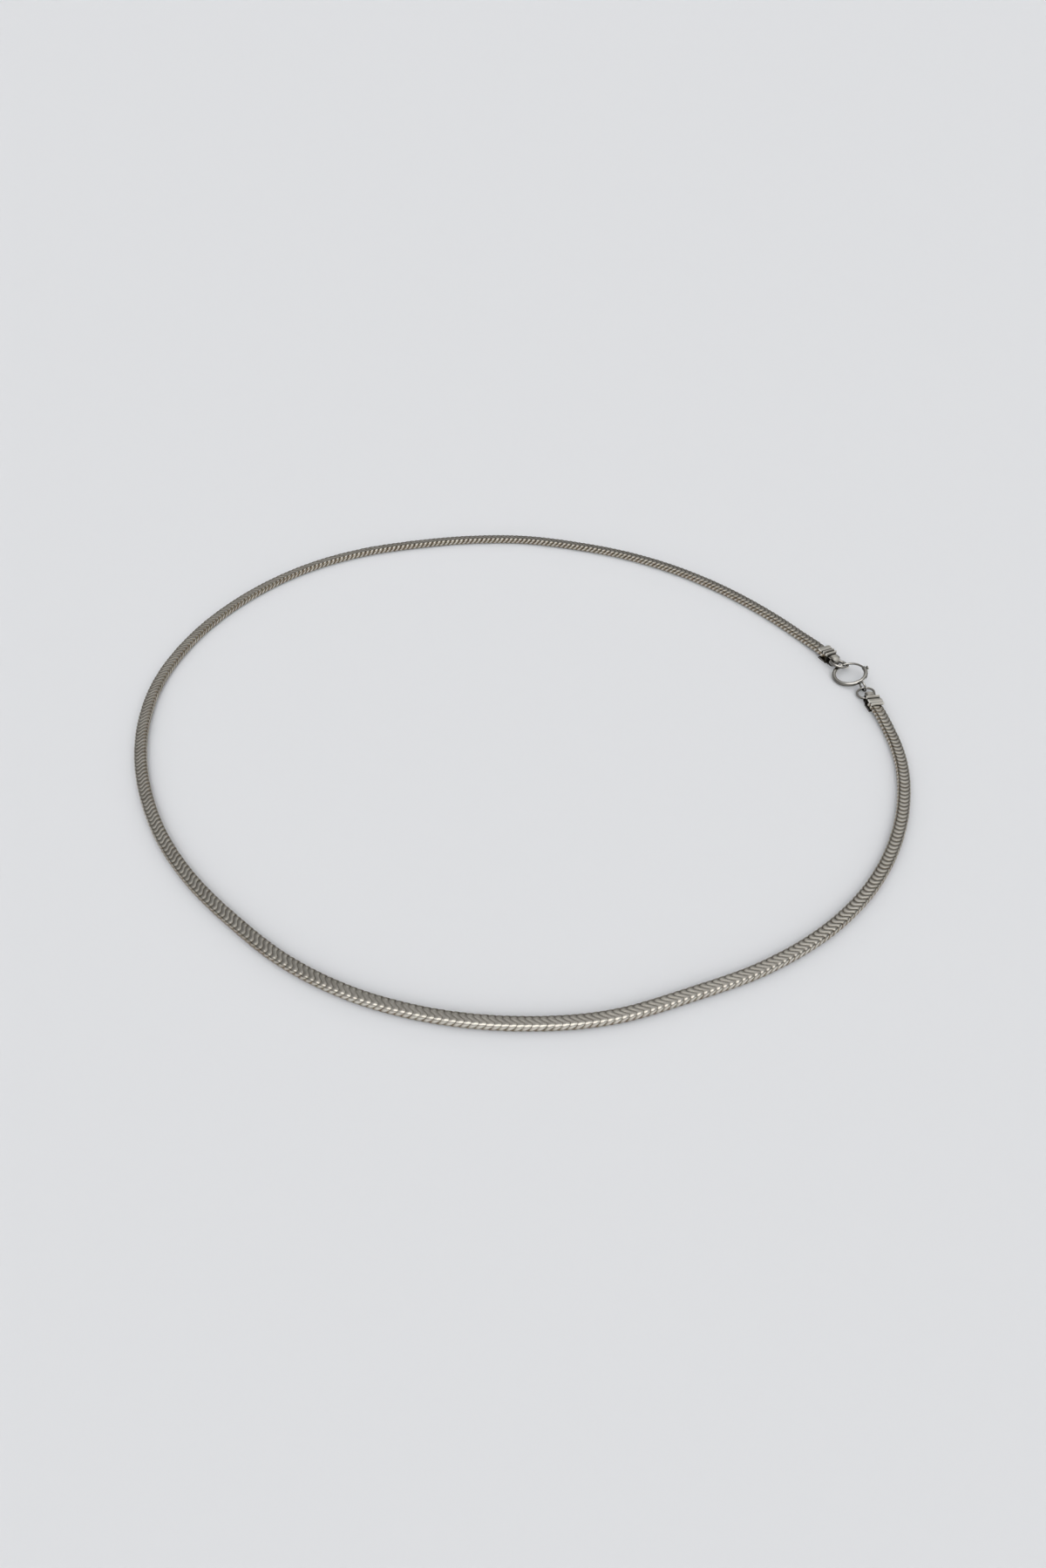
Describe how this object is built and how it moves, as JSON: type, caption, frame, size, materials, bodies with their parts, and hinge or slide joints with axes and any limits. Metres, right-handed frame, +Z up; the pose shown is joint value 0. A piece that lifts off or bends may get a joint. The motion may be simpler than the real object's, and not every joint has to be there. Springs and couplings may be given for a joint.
{
  "type": "snake chain necklace",
  "caption": "Closed snake chain necklace: a flexible rectangular tube of interlocked curved links with folded end caps, a jump ring and a sprung ring clasp, lying in its own loop.",
  "frame": {"origin": "on the table, under the middle of the closed loop's box", "axes": "+Z up from the table, +X towards the side that the clasp lies on, +Y away from a viewer in front"},
  "size_m": [0.1446, 0.1481, 0.0027],
  "materials": {
    "chain_silver": "plated silver, slightly tarnished, dark in the seams between links",
    "cap_silver": "bright silver with fine wear",
    "ring_silver": "polished silver",
    "tongue_silver": "polished silver"
  },
  "bodies": {
    "necklace": {"chain": "chain_silver", "catch_cap": "cap_silver", "clasp_cap": "cap_silver", "jump_ring": "ring_silver", "link_ring": "ring_silver", "spring_ring": "ring_silver"},
    "tongue": {"tongue": "tongue_silver"}
  },
  "joints": [
    {"name": "tongue_draw", "type": "hinge", "parent": "necklace", "child": "tongue", "pos_m": [0.06739, 0.0153, 0.00128], "axis": [-0.2416, -0.0928, 0.9659], "range_deg": [-48, 0], "stiffness_Nm_per_rad": 0.0005}
  ]
}
